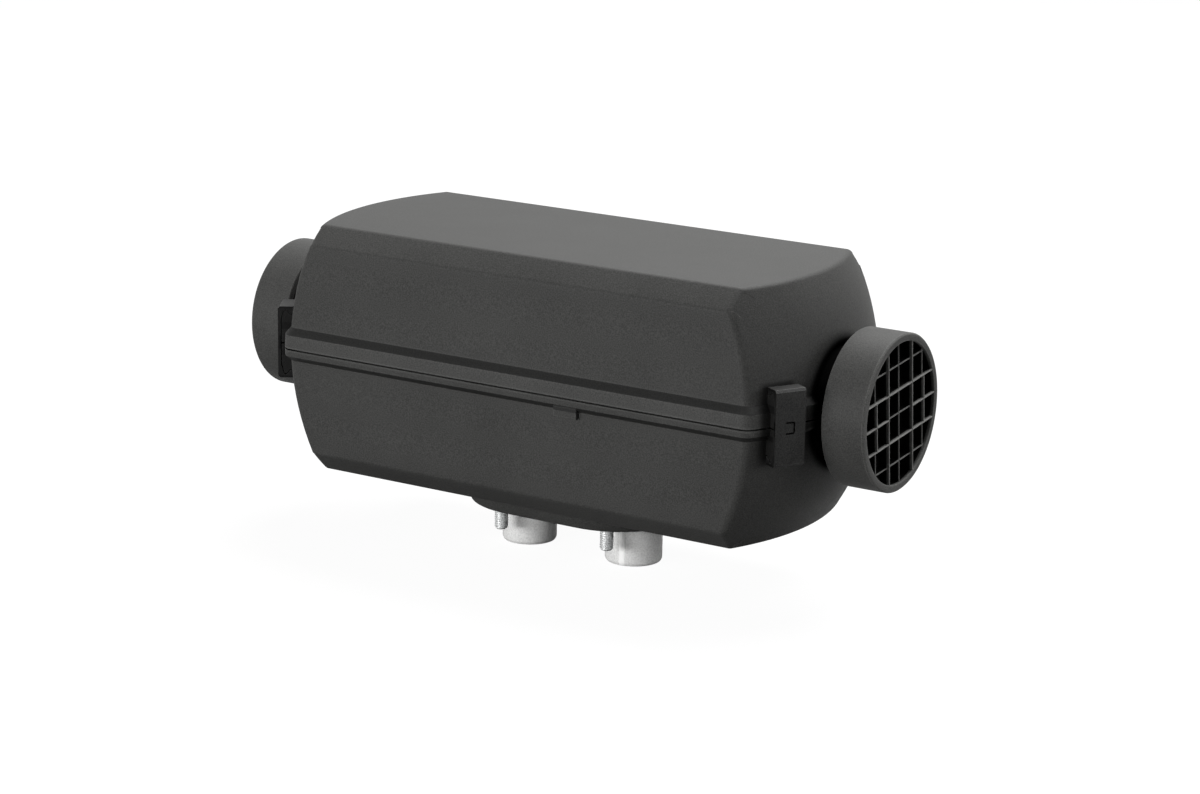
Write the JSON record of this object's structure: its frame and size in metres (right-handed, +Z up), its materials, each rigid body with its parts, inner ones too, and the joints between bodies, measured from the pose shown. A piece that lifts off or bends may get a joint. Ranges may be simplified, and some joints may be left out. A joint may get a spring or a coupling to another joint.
{
  "type": "diesel air heater",
  "caption": "Compact fuel-burning air heater: a bevelled two-part plastic casing with guarded duct rings at both ends, and exhaust and air stubs below its mounting flange",
  "frame": {"origin": "middle of the mounting face, on the underside of the flange gasket", "axes": "+X along the duct axis towards the hot-air outlet, -Y towards the side shown in the picture, +Z up away from the mounting surface"},
  "size_m": [0.3106, 0.1211, 0.1396],
  "materials": {
    "casing": "fine grained dark grey moulded plastic",
    "clip": "smooth satin black moulded plastic",
    "cast_aluminium": "bare fine cast aluminium",
    "zinc_steel": "bright zinc plated steel",
    "pipe_steel": "drawn stainless tube",
    "burner_steel": "heat tinted stainless steel",
    "motor_steel": "dark phosphated steel",
    "bearing_steel": "ground steel",
    "brass": "plain brass",
    "fan_plastic": "black moulded plastic",
    "circuit_board": "green lacquered circuit board",
    "gasket": "dull grey fibre sheet",
    "felt": "pale metal fibre felt",
    "rubber": "dull black rubber"
  },
  "bodies": {
    "housing": {"upper_casing": "casing", "lower_casing": "casing", "outlet_ring": "casing", "intake_ring": "casing", "heat_exchanger": "cast_aluminium", "flange_gasket": "gasket", "mounting_stud_1": "zinc_steel", "mounting_stud_2": "zinc_steel", "mounting_stud_3": "zinc_steel", "mounting_stud_4": "zinc_steel", "burner_gasket": "gasket", "burner": "burner_steel", "evaporator_mat": "felt", "glow_plug": "zinc_steel", "blower_gasket": "gasket", "blower_housing": "cast_aluminium", "blower_screw_1": "zinc_steel", "blower_screw_2": "zinc_steel", "blower_screw_3": "zinc_steel", "blower_screw_4": "zinc_steel", "motor_can": "motor_steel", "motor_stator": "motor_steel", "front_bearing": "bearing_steel", "rear_bearing": "bearing_steel", "control_tray": "fan_plastic", "control_cover": "fan_plastic", "control_board": "circuit_board", "control_screw_1": "zinc_steel", "control_screw_2": "zinc_steel", "fuel_pipe": "pipe_steel", "overheat_sensor": "brass", "sensor_spring": "zinc_steel", "cable_gland": "rubber"},
    "rotor": {"fan_shaft": "bearing_steel", "motor_rotor": "motor_steel", "combustion_impeller": "fan_plastic", "hot_air_fan": "fan_plastic", "fan_washer": "zinc_steel"},
    "clip_front_right": {"clip_front_right": "clip"},
    "clip_rear_right": {"clip_rear_right": "clip"},
    "clip_front_left": {"clip_front_left": "clip"},
    "clip_rear_left": {"clip_rear_left": "clip"}
  },
  "joints": [
    {"name": "rotor_spin", "type": "hinge", "parent": "housing", "child": "rotor", "pos_m": [-0.08, 0, 0.0658], "axis": [1, 0, 0], "continuous": true},
    {"name": "clip_front_right_slide", "type": "slide", "parent": "housing", "child": "clip_front_right", "axis": [-0.515, -0.8572, 0], "range_m": [0, 0.015]},
    {"name": "clip_rear_right_slide", "type": "slide", "parent": "housing", "child": "clip_rear_right", "axis": [-0.515, 0.8572, 0], "range_m": [0, 0.015]},
    {"name": "clip_front_left_slide", "type": "slide", "parent": "housing", "child": "clip_front_left", "axis": [0.515, -0.8572, 0], "range_m": [0, 0.015]},
    {"name": "clip_rear_left_slide", "type": "slide", "parent": "housing", "child": "clip_rear_left", "axis": [0.515, 0.8572, 0], "range_m": [0, 0.015]}
  ]
}
